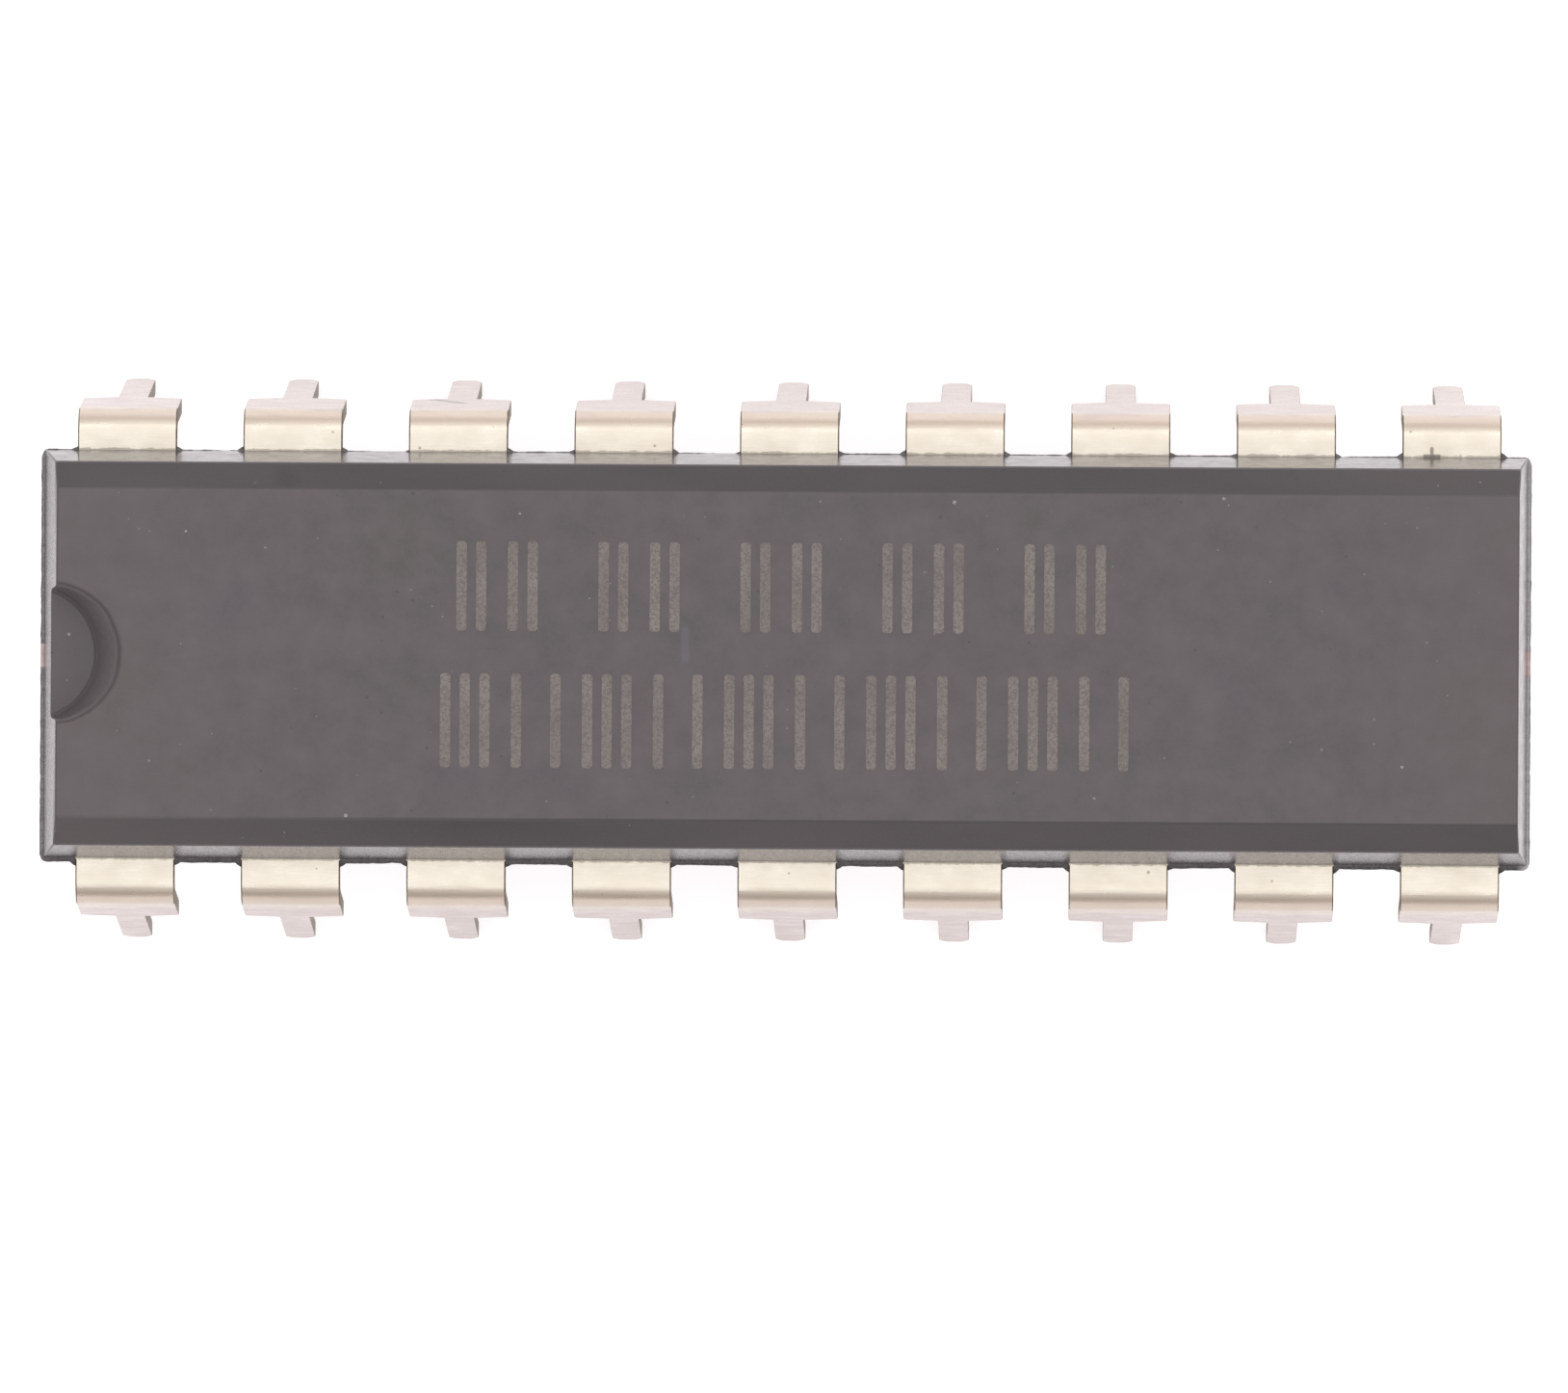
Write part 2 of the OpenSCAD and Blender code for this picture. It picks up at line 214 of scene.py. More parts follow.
def carve(block, cutter):
    """Takes the cutter's shape out of the block, for good."""
    cut = block.modifiers.new("carve", "BOOLEAN")
    cut.operation = "DIFFERENCE"
    cut.solver = "EXACT"
    cut.object = cutter
    shaped = block.evaluated_get(bpy.context.evaluated_depsgraph_get())
    carved = bpy.data.meshes.new_from_object(shaped)
    block.modifiers.clear()
    block.data = carved
    bpy.data.objects.remove(cutter)


def shade_by_crease(piece, crease):
    """Flat faces stay flat and rounded edges look round. Only edges past the crease are sharp."""
    piece.data.shade_smooth()
    piece.data.set_sharp_from_angle(angle=crease)
    weighted = piece.modifiers.new("weighted_normals", "WEIGHTED_NORMAL")
    weighted.keep_sharp = True
    weighted.weight = 100


package_body = new_piece("package_body", moulded_shell())
carve(package_body, new_piece("mould_pins", mould_pins()))
shade_by_crease(package_body, body_crease)
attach(package_body, "root")
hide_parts("body")


def add_node(tree, kind, inputs=None, **settings):
    """A shader node with its settings and inputs; an input is a value or another node's socket."""
    node = tree.nodes.new(kind)
    for name, value in settings.items():
        setattr(node, name, value)
    for socket, value in (inputs or {}).items():
        if isinstance(value, bpy.types.NodeSocket):
            tree.links.new(value, node.inputs[socket])
        else:
            node.inputs[socket].default_value = value
    return node


def number(tree, operation, *values):
    """The result of one step of arithmetic."""
    return add_node(tree, "ShaderNodeMath", dict(enumerate(values)), operation=operation).outputs[0]


def plus(tree, value, added):
    return number(tree, "ADD", value, added)


def less(tree, value, taken):
    return number(tree, "SUBTRACT", value, taken)


def times(tree, value, factor):
    return number(tree, "MULTIPLY", value, factor)


def distance_from(tree, value, middle):
    return number(tree, "ABSOLUTE", less(tree, value, middle))


def blend_colours(tree, factor, first, second):
    """The first colour where the factor is 0, the second where it is 1."""
    node = add_node(tree, "ShaderNodeMix", {0: factor, 6: first, 7: second}, data_type="RGBA")
    return node.outputs[2]


def spread(tree, value, low, high, out_low=0.0, out_high=1.0):
    """The value, mapped from its range to another and held inside it."""
    ranges = {"From Min": low, "From Max": high, "To Min": out_low, "To Max": out_high}
    return add_node(tree, "ShaderNodeMapRange", {"Value": value, **ranges}).outputs[0]


def between(tree, mask, at_none, at_full):
    """A number that goes from the first value to the second as the mask goes from 0 to 1."""
    return spread(tree, mask, 0.0, 1.0, at_none, at_full)


def blend_numbers(tree, factor, first, second):
    node = add_node(tree, "ShaderNodeMix", {0: factor, 2: first, 3: second}, data_type="FLOAT")
    return node.outputs[0]


def finish_group(name, inputs, outputs):
    """An empty shader group with its sockets, given as name to (kind, first value)."""
    group = bpy.data.node_groups.new(name, "ShaderNodeTree")
    for socket_name, (kind, value) in inputs.items():
        socket = group.interface.new_socket(socket_name, in_out="INPUT", socket_type=kind)
        socket.default_value = value
    for socket_name in outputs:
        group.interface.new_socket(socket_name, in_out="OUTPUT", socket_type="NodeSocketFloat")
    given, result = group.nodes.new("NodeGroupInput"), group.nodes.new("NodeGroupOutput")
    return group, given.outputs, result.inputs


# Mottle is the slow, uneven shade that every finish here has. Stretch draws it out along an
# axis, as rolling does to sheet metal.
mottle, given, result = finish_group(
    "mottle",
    {"Size": ("NodeSocketFloat", MM), "Stretch": ("NodeSocketVector", (1, 1, 1)),
     "Roughness": ("NodeSocketFloat", 0.5)},
    ["Value"],
)
place = add_node(mottle, "ShaderNodeTexCoord").outputs["Object"]
stretched = add_node(
    mottle, "ShaderNodeVectorMath", {0: place, 1: given["Stretch"]}, operation="MULTIPLY")
cloud = add_node(
    mottle, "ShaderNodeTexNoise",
    {"Vector": stretched.outputs[0], "Scale": number(mottle, "DIVIDE", 1.0, given["Size"]),
     "Detail": 3.0, "Roughness": given["Roughness"]},
)
mottle.links.new(spread(mottle, cloud.outputs[0], 0.28, 0.72), result["Value"])

# Specks are small separate spots, such as dust, filler grains and pits. Share is the part of the
# places in the pattern that hold one.
specks, given, result = finish_group(
    "specks",
    {"Size": ("NodeSocketFloat", 0.1 * MM), "Share": ("NodeSocketFloat", 0.3),
     "Radius": ("NodeSocketFloat", 0.3)},
    ["Mask"],
)
place = add_node(specks, "ShaderNodeTexCoord").outputs["Object"]
cells = add_node(
    specks, "ShaderNodeTexVoronoi",
    {"Vector": place, "Scale": number(specks, "DIVIDE", 1.0, given["Size"])},
)
chance = add_node(specks, "ShaderNodeSeparateColor", {"Color": cells.outputs["Color"]}).outputs[0]
held = number(specks, "LESS_THAN", chance, given["Share"])
luck = number(specks, "DIVIDE", chance, given["Share"])
own_radius = times(specks, given["Radius"], between(specks, luck, 0.4, 1.0))
way_out = number(specks, "DIVIDE", cells.outputs["Distance"], own_radius)
spot = less(specks, 1.0, way_out)
specks.links.new(times(specks, held, spread(specks, spot, 0.0, 0.35)), result["Mask"])


# A stroke is one mark of wear, such as a scratch or a smudge: a soft-edged line between two points
# on the piece.
stroke, given, result = finish_group(
    "stroke",
    {"From": ("NodeSocketVector", (0, 0, 0)), "To": ("NodeSocketVector", (MM, 0, 0)),
     "Width": ("NodeSocketFloat", 0.1 * MM)},
    ["Mask"],
)
place = add_node(stroke, "ShaderNodeTexCoord").outputs["Object"]


def vector_step(operation, *values):
    """The outputs of one step of arithmetic on points."""
    step = add_node(stroke, "ShaderNodeVectorMath", dict(enumerate(values)), operation=operation)
    return step.outputs


reach = vector_step("SUBTRACT", given["To"], given["From"])[0]
offset = vector_step("SUBTRACT", place, given["From"])[0]
share = number(
    stroke, "DIVIDE", vector_step("DOT_PRODUCT", offset, reach)["Value"],
    vector_step("DOT_PRODUCT", reach, reach)["Value"])
along = add_node(stroke, "ShaderNodeVectorMath", {0: reach}, operation="SCALE")
stroke.links.new(spread(stroke, share, 0.0, 1.0), along.inputs["Scale"])
gap = vector_step("SUBTRACT", offset, along.outputs[0])[0]
distance = number(stroke, "DIVIDE", vector_step("LENGTH", gap)["Value"], given["Width"])
stroke.links.new(spread(stroke, distance, 0.2, 0.5, 1.0, 0.0), result["Mask"])


def finish(name):
    """A new material, with its node tree and its shader."""
    material = bpy.data.materials.new(name)
    material.use_nodes = True
    return material, material.node_tree, material.node_tree.nodes["Principled BSDF"]


def give_surface(tree, shader, colour, roughness, relief=None, depth=0.0):
    """Gives a shader the colour and roughness of a finish, and its relief if it has one."""
    tree.links.new(colour, shader.inputs["Base Color"])
    tree.links.new(roughness, shader.inputs["Roughness"])
    if relief is not None:
        bump = add_node(
            tree, "ShaderNodeBump", {"Height": relief, "Distance": depth, "Strength": 1.0})
        tree.links.new(bump.outputs[0], shader.inputs["Normal"])


def own_place(tree):
    """Where on the piece the surface is, as X, Y and Z."""
    place = add_node(tree, "ShaderNodeTexCoord").outputs["Object"]
    return add_node(tree, "ShaderNodeSeparateXYZ", {0: place}).outputs


def mottle_value(tree, size, stretch=(1, 1, 1), roughness=0.5):
    """Mottle of one size, as a number from 0 to 1."""
    inputs = {"Size": size, "Stretch": stretch, "Roughness": roughness}
    return add_node(tree, "ShaderNodeGroup", inputs, node_tree=mottle).outputs[0]


def speck_mask(tree, size, share, radius):
    """Specks one size apart: 1 in the middle of each, 0 between them."""
    inputs = {"Size": size, "Share": share, "Radius": radius}
    return add_node(tree, "ShaderNodeGroup", inputs, node_tree=specks).outputs[0]


def stroke_mask(tree, start, end, width):
    """A mark of wear between two points given in millimetres."""
    inputs = {"From": Vector(start) * MM, "To": Vector(end) * MM, "Width": width}
    return add_node(tree, "ShaderNodeGroup", inputs, node_tree=stroke).outputs[0]


def moulded_resin():
    """Filled epoxy: matt and grainy where the mould was sparked, polished on its leaning walls."""
    material, tree, shader = finish("moulded_resin")
    place = own_place(tree)
    normal = add_node(tree, "ShaderNodeNewGeometry").outputs["Normal"]
    upward = add_node(tree, "ShaderNodeSeparateXYZ", {0: normal}).outputs["Z"]
    levelness = number(tree, "ABSOLUTE", upward)
    sparked = spread(tree, levelness, 0.22, 0.45)
    level = spread(tree, levelness, 0.88, 0.97)
    toward_wear = add_node(
        tree, "ShaderNodeVectorMath", {0: normal, 1: (-0.6, -0.8, 0)}, operation="DOT_PRODUCT")
    worn_wall = spread(tree, toward_wear.outputs["Value"], 0.3, 0.5)

    # Level faces are clouded brown and violet, paler towards the ends, with a fine grain.
    tint = blend_colours(
        tree, mottle_value(tree, 2.4 * MM), (0.056, 0.050, 0.046, 1), (0.062, 0.050, 0.062, 1))
    ends = spread(tree, number(tree, "ABSOLUTE", place["X"]), 8.0 * MM, 11.1 * MM, 0.0, 0.30)
    aged = blend_colours(tree, ends, tint, (0.104, 0.084, 0.080, 1))
    clouds = times(tree, mottle_value(tree, 0.55 * MM, roughness=0.65), 0.8)
    clouded = blend_colours(tree, clouds, aged, (0.094, 0.078, 0.085, 1))
    grain = mottle_value(tree, 0.045 * MM, roughness=0.7)
    grained = blend_colours(tree, times(tree, grain, 0.4), clouded, (0.106, 0.090, 0.096, 1))

    # The bevels are darker and streaked along the body, with two opposite corners rubbed pale.
    # Their colour is also painted light and shade by side: the -Y bevel, away from the light, is
    # painted lighter than the +Y bevel, toward it. The walls and the inside of the notch are
    # steeper than the bevels.
    streaks = mottle_value(tree, 1.6 * MM, (0.35, 1, 1))
    shaded_side = blend_colours(tree, streaks, (0.038, 0.031, 0.034, 1), (0.062, 0.051, 0.057, 1))
    lit_side = blend_colours(tree, streaks, (0.030, 0.026, 0.028, 1), (0.050, 0.042, 0.046, 1))
    toward_light = spread(tree, place["Y"], -2 * MM, 2 * MM)
    bevelled = blend_colours(tree, toward_light, shaded_side, lit_side)
    toward_corner = times(tree, place["X"], place["Y"])
    corners = spread(tree, toward_corner, 14 * MM * MM, 26 * MM * MM, 0.0, 0.45)
    rubbed_and_painted_shade = blend_colours(tree, corners, bevelled, (0.080, 0.067, 0.068, 1))
    not_steep = spread(tree, levelness, 0.72, 0.84)
    sides = blend_colours(tree, not_steep, (0.076, 0.063, 0.070, 1), rubbed_and_painted_shade)
    moulded = blend_colours(tree, level, sides, grained)

    # Grains of filler show pale and pits dark. A dark line of painted shade runs where the -Y bevel
    # meets the top, fainter towards the notch end.
    filler = speck_mask(tree, 0.16 * MM, 0.10, 0.14)
    filled = blend_colours(tree, times(tree, filler, 0.35), moulded, (0.30, 0.29, 0.29, 1))
    pits = speck_mask(tree, 0.23 * MM, 0.12, 0.16)
    pitted = blend_colours(tree, times(tree, pits, 0.5), filled, (0.035, 0.032, 0.034, 1))
    from_line = distance_from(tree, place["Y"], edge_shade_y)
    painted_edge_shade = times(
        tree, spread(tree, from_line, 0.012 * MM, 0.030 * MM, 0.75, 0.0),
        spread(tree, place["X"], -9 * MM, -3 * MM, 0.25, 1.0))
    lined = blend_colours(
        tree, times(tree, painted_edge_shade, sparked), pitted, (0.028, 0.024, 0.026, 1))

    # One smudge lies on the top face, and one stain on the +Y bevel.
    smudge = stroke_mask(tree, (-1.56, 0.42, 7.05), (-1.56, 0.0, 7.05), 0.17 * MM)
    smudged = blend_colours(tree, times(tree, smudge, 0.5), lined, (0.105, 0.100, 0.125, 1))
    stain = stroke_mask(tree, (-7.70, 2.72, 6.93), (-7.62, 2.70, 6.93), 0.45 * MM)
    stained = blend_colours(tree, times(tree, stain, 0.4), smudged, (0.026, 0.022, 0.026, 1))

    matt = between(tree, grain, 0.46, 0.62)
    polished = between(tree, mottle_value(tree, 0.25 * MM), 0.12, 0.24)
    scuffed = between(tree, mottle_value(tree, 0.08 * MM), 0.15, 0.32)
    wall = blend_numbers(tree, worn_wall, polished, scuffed)
    sheen = blend_numbers(tree, sparked, wall, matt)

    pocked = less(tree, times(tree, grain, sparked), times(tree, pits, 0.8))
    ground = plus(tree, pocked, times(tree, mottle_value(tree, 0.5 * MM), 0.6))
    torn = times(
        tree, mottle_value(tree, 0.07 * MM, roughness=0.65), times(tree, worn_wall, 1.6))
    give_surface(tree, shader, stained, sheen, plus(tree, ground, torn), 0.0022 * MM)
    shader.inputs["IOR"].default_value = 1.55
    return material


package_body.data.materials.append(moulded_resin())

# Where the mould halves met, a thin lip of resin is left round the body, as thick as the lead
# frame. It is broken off unevenly, and reaches out in small webs beside the leads, where the bar
# that joined them was cut away. The copper tie bar shows in a gap in it at each end.
lead_pitch = 2.54 * MM
lead_places = range(-4, 5)
shoulder_half = 0.76 * MM
web_width = 0.07 * MM
tie_bar_half = 0.18 * MM
flash_corner = 0.12 * MM
tuck = 0.15 * MM
ripple_length = 0.22 * MM
ripple_depth = 0.010 * MM
quick_ripples = 3.1
quick_ripple_seed = 5
quick_ripple_share = 0.5
end_seed = 3
break_slant = 0.045 * MM
slant_along, slant_across, slant_seed = 0.83, 4.1, 7
smallest_web = 0.25
web_along, web_across, web_seed = 1.7, 9.3, 2
steps_per_mm = 34


def ripple(along, seed):
    """How far the broken edge wanders at that place."""
    slow = wander(along / ripple_length, seed, 0)
    quick = wander(along / ripple_length * quick_ripples, seed, quick_ripple_seed)
    return ripple_depth * (slow + quick_ripple_share * quick)


def flash_strip(flash, start, end, reach_at, place_at):
    """One strip of the lip: reach_at gives its outer edge, place_at turns it to its side."""
    steps = max(4, round(steps_per_mm * (end - start) / MM))
    grid = bmesh.ops.create_grid(flash, x_segments=steps, y_segments=1, size=0.5)["verts"]
    for corner in grid:
        along = start + (corner.co.x + 0.5) * (end - start)
        corner.co = place_at(along, reach_at(along, corner.co.y > 0))
    lower = list(dict.fromkeys(face for corner in grid for face in corner.link_faces))
    upper = bmesh.ops.extrude_face_region(flash, geom=lower)["geom"]
    raised = [part for part in upper if isinstance(part, bmesh.types.BMVert)]
    bmesh.ops.translate(flash, vec=(0, 0, sheet), verts=raised)


def web_size(lead_edge, side):
    """How much of a web is left beside that edge of a lead, as a share of the largest."""
    luck = abs(wander(lead_edge / MM * web_along, side * web_across, web_seed))
    return smallest_web + (1 - smallest_web) * luck


def side_strips(flash, side):
    """The lip between the leads of one row, with a web against each lead's edge."""
    edges = [
        place * lead_pitch + half
        for place in lead_places for half in (-shoulder_half, shoulder_half)
    ]
    stops = [body_low.x] + edges + [body_high.x]
    for gap in range(0, len(stops), 2):
        start, end = stops[gap], stops[gap + 1]
        slant = break_slant * wander(gap * slant_along, side * slant_across, slant_seed)

        def reach_at(along, outer):
            if not outer:
                return foot_y - tuck
            reach = foot_y + flash_reach - ripple_depth + ripple(along, side)
            reach -= abs(slant) * abs(along - (start if slant > 0 else end)) / (end - start)
            for lead_edge in (start, end):
                share = 1 - abs(along - lead_edge) / web_width
                if lead_edge in edges and share > 0:
                    reach += web_reach * web_size(lead_edge, side) * sqrt(share)
            into_corner = flash_corner - min(along - body_low.x, body_high.x - along)
            if into_corner > 0:
                reach -= flash_corner - sqrt(max(0, flash_corner**2 - into_corner**2))
            return reach

        flash_strip(
            flash, start, end, reach_at, lambda along, reach: (along, side * reach, frame_foot))


def end_strips(flash, end, end_x):
    """The lip across one end, on each side of the tie bar."""
    for start, stop in ((tuck - foot_y, -tie_bar_half), (tie_bar_half, foot_y - tuck)):

        def reach_at(along, outer):
            calm = min(1, (foot_y - tuck - abs(along)) / ripple_length)
            past = calm * ripple(along, end_seed + end) if outer else -tuck - flash_reach
            return end_x + end * past

        flash_strip(
            flash, start, stop, reach_at, lambda along, reach: (reach, along, frame_foot))


lip_shape = bmesh.new()
for side in (-1, 1):
    side_strips(lip_shape, side)
end_strips(lip_shape, -1, body_low.x)
end_strips(lip_shape, 1, body_high.x)
bmesh.ops.recalc_face_normals(lip_shape, faces=lip_shape.faces)
resin_flash = new_piece("resin_flash", lip_shape)
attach(resin_flash, "root")


def broken_resin():
    """The lip's resin is torn and dark along its edge. Its colour is painted light and shade: dark
    along the -Y side, away from the light, and pale elsewhere.
    """
    material, tree, shader = finish("broken_resin")
    place = own_place(tree)
    torn = mottle_value(tree, 0.05 * MM, roughness=0.7)

    # The lip is painted dark along the -Y side, away from the light, lighter elsewhere, and palest
    # at the plain end. This is painted shade and painted light.
    at_plain_end = spread(tree, place["X"], plain_end_x - tuck, plain_end_x)
    past_shaded_side = spread(tree, place["Y"], -foot_y, tuck - foot_y)
    lit_lip_mask = number(tree, "MAXIMUM", past_shaded_side, at_plain_end)
    shaded_side_lip = blend_colours(tree, torn, (0.060, 0.053, 0.055, 1), (0.145, 0.130, 0.133, 1))
    lit_side_lip = blend_colours(tree, torn, (0.170, 0.155, 0.158, 1), (0.330, 0.310, 0.312, 1))
    plain_end_lit_lip = blend_colours(tree, torn, (0.310, 0.298, 0.303, 1), (0.510, 0.495, 0.500, 1))
    lip = blend_colours(tree, at_plain_end, blend_colours(tree, lit_lip_mask, shaded_side_lip, lit_side_lip), plain_end_lit_lip)

    body_middle_x, body_half_length = (body_low.x + body_high.x) / 2, (body_high.x - body_low.x) / 2
    past_end = less(tree, distance_from(tree, place["X"], body_middle_x), body_half_length)
    past_side = less(tree, number(tree, "ABSOLUTE", place["Y"]), foot_y + flash_reach)
    rim = spread(tree, number(tree, "MAXIMUM", past_end, past_side), -0.020 * MM, -0.010 * MM)
    rim_shade = times(tree, rim, between(tree, lit_lip_mask, 0.8, 0.5))
    edged = blend_colours(tree, rim_shade, lip, (0.060, 0.054, 0.056, 1))
    give_surface(tree, shader, edged, between(tree, torn, 0.70, 0.50), torn, 0.004 * MM)
    shader.inputs["Specular IOR Level"].default_value = 0.3
    return material


resin_flash.data.materials.append(broken_resin())

# Each lead is stamped from rolled copper-alloy sheet, plated with tin, and bent down beside the
# body. The tin is bright on the rolled faces. The edges were sheared when the lead frame was cut
# apart, so they are dull and dark. A little resin has bled over the lead where it leaves the body.
bend_radius = 0.20 * MM
leg_lean = radians(6)
bend_steps = 14
sheared_edge = 0.020 * MM
same_plane = radians(0.4)
cut_corner = radians(60)
lead_crease = radians(35)
bend_z = frame_foot - bend_radius
bend_outer_radius = bend_radius + sheet


def tin_plate():
    """Tin on the rolled faces: rolling lines, soft blotches and pits, with painted reflection
    darkening the bend and the leg.
    """
    material, tree, shader = finish("tin_plate")
    place = own_place(tree)
    lines = mottle_value(tree, 0.020 * MM, (0.06, 1, 1), 0.6)
    blotches = mottle_value(tree, 0.35 * MM, (0.7, 1, 1), 0.55)
    plated = blend_colours(tree, blotches, (0.722, 0.650, 0.553, 1), (0.790, 0.728, 0.636, 1))
    lined = blend_colours(tree, times(tree, lines, 0.40), plated, (0.64, 0.575, 0.48, 1))
    pits = speck_mask(tree, 0.19 * MM, 0.16, 0.16)
    pitted = blend_colours(tree, times(tree, pits, 0.6), lined, (0.22, 0.18, 0.14, 1))

    # The bend is painted as a dull, darker band, a painted reflection of the dimmer surroundings,
    # darker still in the -Y row, away from the light. The band runs down to an uneven line that
    # lies higher in the +Y row.
    # Below that line the leg is painted darker and pinker, a painted reflection of the floor,
    # darker in the -Y row.
    near_row = spread(tree, place["Y"], -foot_y, foot_y)
    rubbed_and_painted_shade = blend_colours(tree, near_row, (0.46, 0.385, 0.330, 1), (0.555, 0.475, 0.405, 1))
    bent = spread(
        tree, place["Z"], bend_z + 0.96 * bend_outer_radius, bend_z + 0.78 * bend_outer_radius)
    painted_bend = blend_colours(tree, times(tree, bent, 0.8), pitted, rubbed_and_painted_shade)
    band_foot = between(
        tree, near_row, bend_z - bend_outer_radius, bend_z + 0.1 * bend_outer_radius)
    unevenness = times(tree, less(tree, blotches, 0.5), 0.5 * MM)
    above_foot = plus(tree, less(tree, place["Z"], band_foot), unevenness)
    below_band = spread(tree, above_foot, 0.25 * bend_outer_radius, -0.45 * bend_outer_radius)
    painted_leg_reflection = blend_colours(tree, near_row, (0.425, 0.345, 0.338, 1), (0.505, 0.438, 0.418, 1))
    patchy = blend_colours(tree, times(tree, blotches, 0.3), painted_leg_reflection, (0.61, 0.54, 0.53, 1))
    leg = blend_colours(tree, times(tree, below_band, 0.9), painted_bend, patchy)

    # Resin has bled a little way out over the tin from the wall.
    outward = distance_from(tree, place["Y"], mould_offset)
    bled_edge = plus(tree, outward, times(tree, mottle_value(tree, 0.12 * MM), -0.035 * MM))
    bled = spread(tree, bled_edge, foot_y, foot_y + 0.012 * MM, 0.35, 0.0)
    stained = blend_colours(tree, bled, leg, (0.16, 0.135, 0.10, 1))

    # One leg has a scratch, and one shoulder has a small star-shaped nick.
    scratch = stroke_mask(tree, (-5.58, 4.01, 3.36), (-5.06, 3.94, 3.98), 0.26 * MM)
    across = stroke_mask(tree, (9.85, 3.29, 5.52), (9.85, 3.10, 5.52), 0.08 * MM)
    along = stroke_mask(tree, (9.74, 3.18, 5.52), (9.96, 3.18, 5.52), 0.07 * MM)
    marks = number(tree, "MAXIMUM", scratch, number(tree, "MAXIMUM", across, along))
    marked = blend_colours(tree, times(tree, marks, 0.7), stained, (0.10, 0.085, 0.075, 1))

    dullness = plus(tree, between(tree, blotches, 0.34, 0.24), times(tree, bled, 0.5))
    relief = less(tree, plus(tree, times(tree, lines, 0.5), blotches), pits)
    give_surface(tree, shader, marked, dullness, relief, 0.0016 * MM)
    shader.inputs["Metallic"].default_value = 1.0
    return material


def sheared_metal():
    """The cut edges: torn copper alloy, tarnished to an olive brown, with some smeared tin."""
    material, tree, shader = finish("sheared_metal")
    torn = mottle_value(tree, 0.06 * MM, (1, 0.5, 0.5), 0.65)
    smeared = speck_mask(tree, 0.12 * MM, 0.35, 0.4)
    tarnish = blend_colours(tree, torn, (0.105, 0.085, 0.062, 1), (0.26, 0.215, 0.165, 1))
    colour = blend_colours(tree, times(tree, smeared, 0.4), tarnish, (0.52, 0.45, 0.37, 1))
    give_surface(tree, shader, colour, between(tree, torn, 0.62, 0.42), torn, 0.005 * MM)
    shader.inputs["Metallic"].default_value = 1.0
    return material


tin, sheared = tin_plate(), sheared_metal()


def is_cut_face(face, bend_y):
    """True for the faces that the press cut, which stand square to the sheet's own surface."""
    middle, normal = face.calc_center_median(), face.normal
    if abs(middle.y) < bend_y:
        return abs(normal.z) < 0.5
    if middle.z > bend_z:
        return abs(normal.x) > 0.5
    leg_normal = Vector((0, cos(leg_lean) * (1 if middle.y > 0 else -1), sin(leg_lean)))
    return abs(normal.dot(leg_normal)) < 0.5


def cut_through(shape, place, facing):
    """Adds edges where a plane crosses the shape."""
    everything = shape.verts[:] + shape.edges[:] + shape.faces[:]
    bmesh.ops.bisect_plane(
        shape, geom=everything, dist=weld, plane_co=place, plane_no=facing)


def dressed_lead(node_name):
    """A welded copy of a lead, with a finer bend and edges rounded as shearing leaves them."""
    lead = bmesh.new()
    lead.from_mesh(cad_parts[node_name].data)
    bmesh.ops.remove_doubles(lead, verts=lead.verts, dist=weld)
    bmesh.ops.dissolve_limit(
        lead, angle_limit=same_plane, verts=lead.verts, edges=lead.edges, delimit={"NORMAL"})
    row = 1 if sum(v.co.y for v in lead.verts) > 0 else -1
    bend_y = max(row * v.co.y for v in lead.verts if v.co.z > frame_top - weld)
    axis = Vector((0, row * bend_y, bend_z))

    for step in range(bend_steps + 1):
        turn = (radians(90) - leg_lean) * step / bend_steps
        cut_through(lead, axis, Vector((0, row * cos(turn), -sin(turn))))
    cut_through(lead, Vector((0, row * (foot_y + weld), 0)), (0, 1, 0))
    for corner in lead.verts:
        arm = Vector((0, corner.co.y - axis.y, corner.co.z - axis.z))
        in_bend = row * arm.y > weld and arm.z > -arm.y * row * tan(leg_lean) + weld
        if in_bend:
            radius = bend_outer_radius if arm.length > bend_radius + sheet / 2 else bend_radius
            corner.co += arm.normalized() * radius - arm

    lead.normal_update()
    for face in lead.faces:
        face.material_index = 1 if is_cut_face(face, bend_y) else 0
    outside = [
        edge for edge in lead.edges
        if edge.calc_face_angle(0) > cut_corner and all(row * v.co.y > foot_y for v in edge.verts)
    ]
    rolled_over = bmesh.ops.bevel(
        lead, geom=outside, offset=sheared_edge, segments=2, profile=0.5, affect="EDGES",
        material=-1, clamp_overlap=True,
    )["faces"]
    for face in rolled_over:
        if face.calc_center_median().z > bend_z:
            face.material_index = 1
    return lead


lead_names = sorted(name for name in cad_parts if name.startswith("lead_"))
for lead_name in lead_names:
    dressed = new_piece("tinned_" + lead_name, dressed_lead(lead_name))
    dressed.data.materials.append(tin)
    dressed.data.materials.append(sheared)
    shade_by_crease(dressed, lead_crease)
    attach(dressed, "root")
    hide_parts(lead_name)

# Inside the resin, the paddle and its tie bars are the same copper alloy without tin. Only the
# cut ends of the tie bars show, one in the middle of each end of the body.


